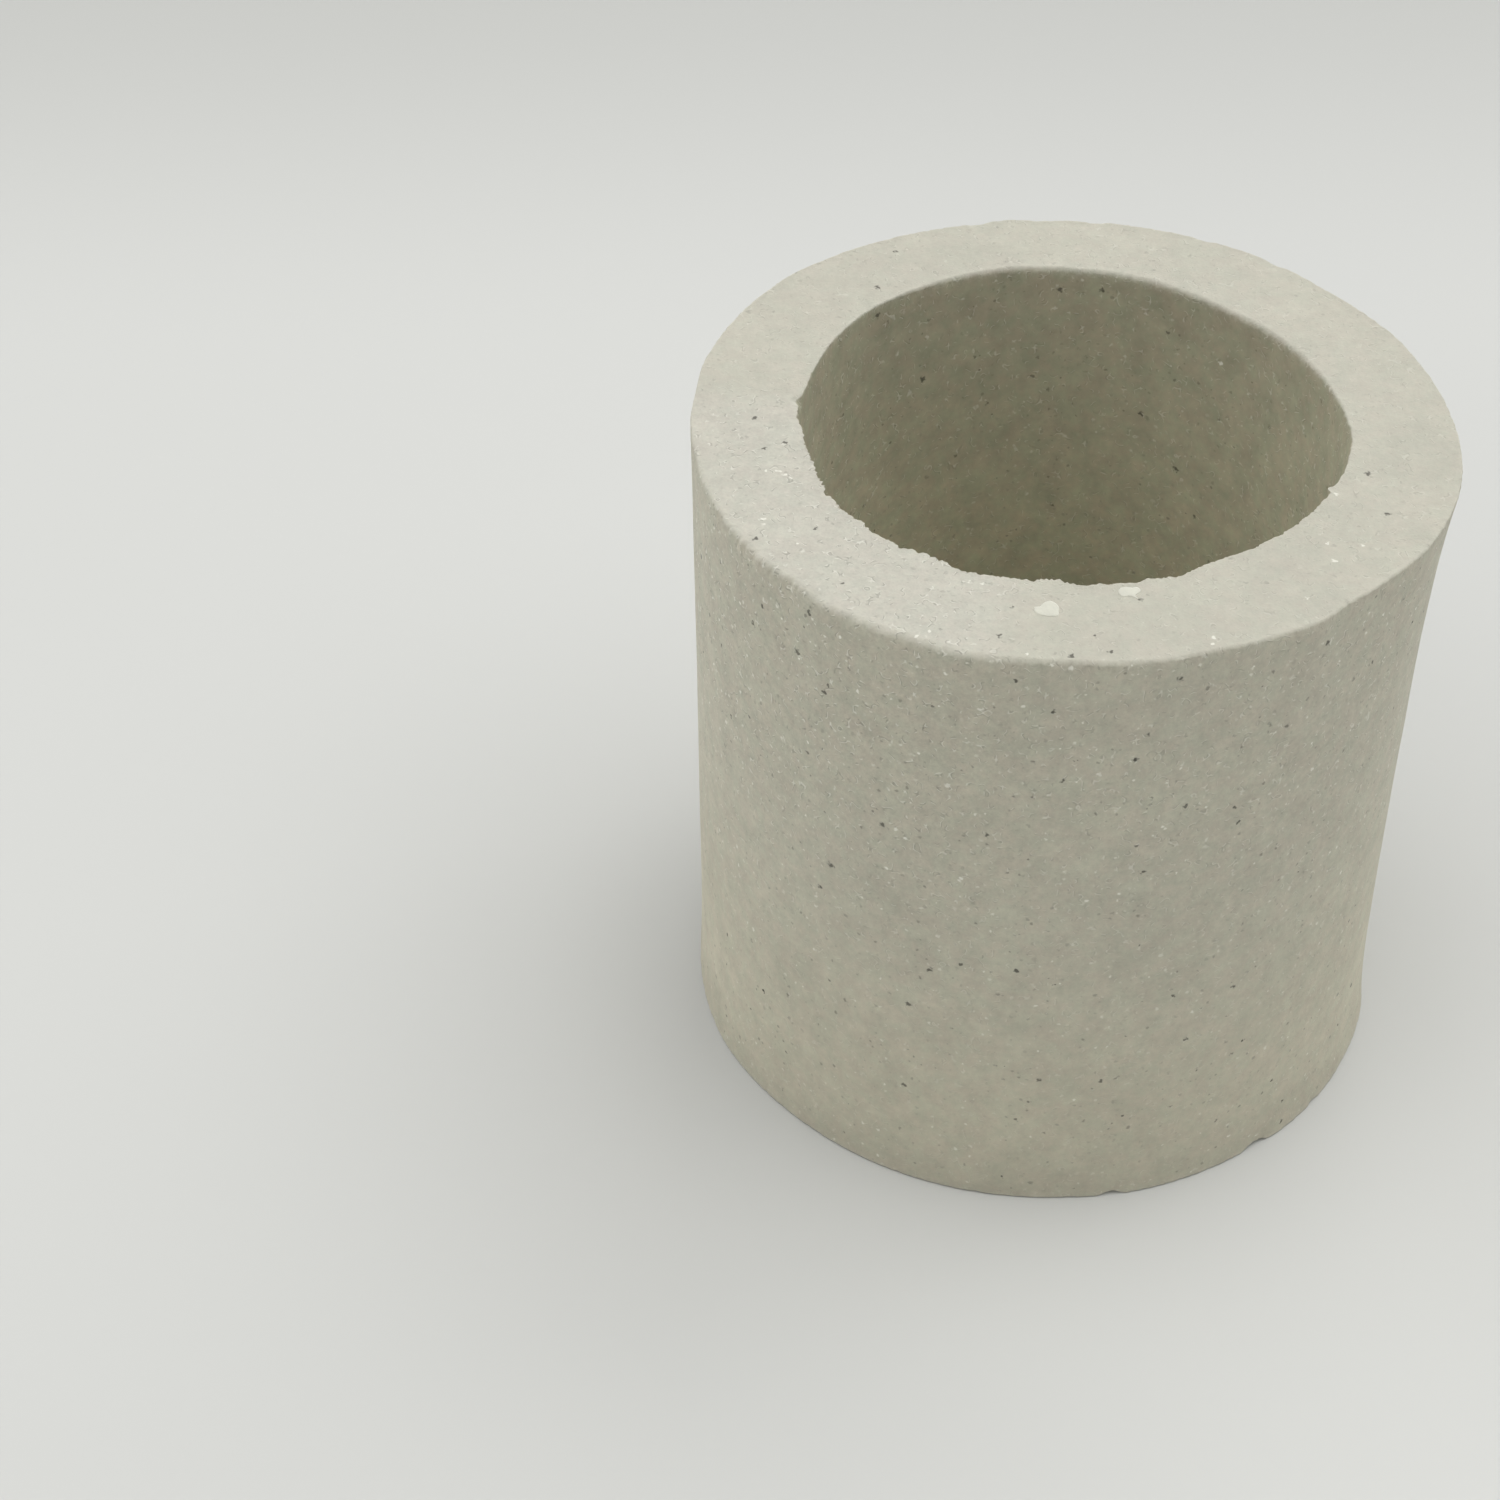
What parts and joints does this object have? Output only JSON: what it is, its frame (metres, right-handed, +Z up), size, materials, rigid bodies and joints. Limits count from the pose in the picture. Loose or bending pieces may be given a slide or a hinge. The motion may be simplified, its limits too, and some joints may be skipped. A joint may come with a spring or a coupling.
{
  "type": "ceramic raschig ring",
  "caption": "Short thick-walled ceramic tube, as tall as it is wide and open right through, with wire-cut ends; a random packing ring for a column or tower.",
  "frame": {"origin": "centre of the base, on the axis of the tube", "axes": "+Z runs up the axis of the tube from the base to the top face, +X to the right and +Y away from the viewer as the picture shows the standing ring"},
  "size_m": [0.0388, 0.038, 0.038],
  "materials": {
    "stoneware": "unglazed, matte and fine-grained, grey-beige with small dark and white specks"
  },
  "bodies": {
    "root": {"ring": "stoneware"}
  },
  "joints": []
}
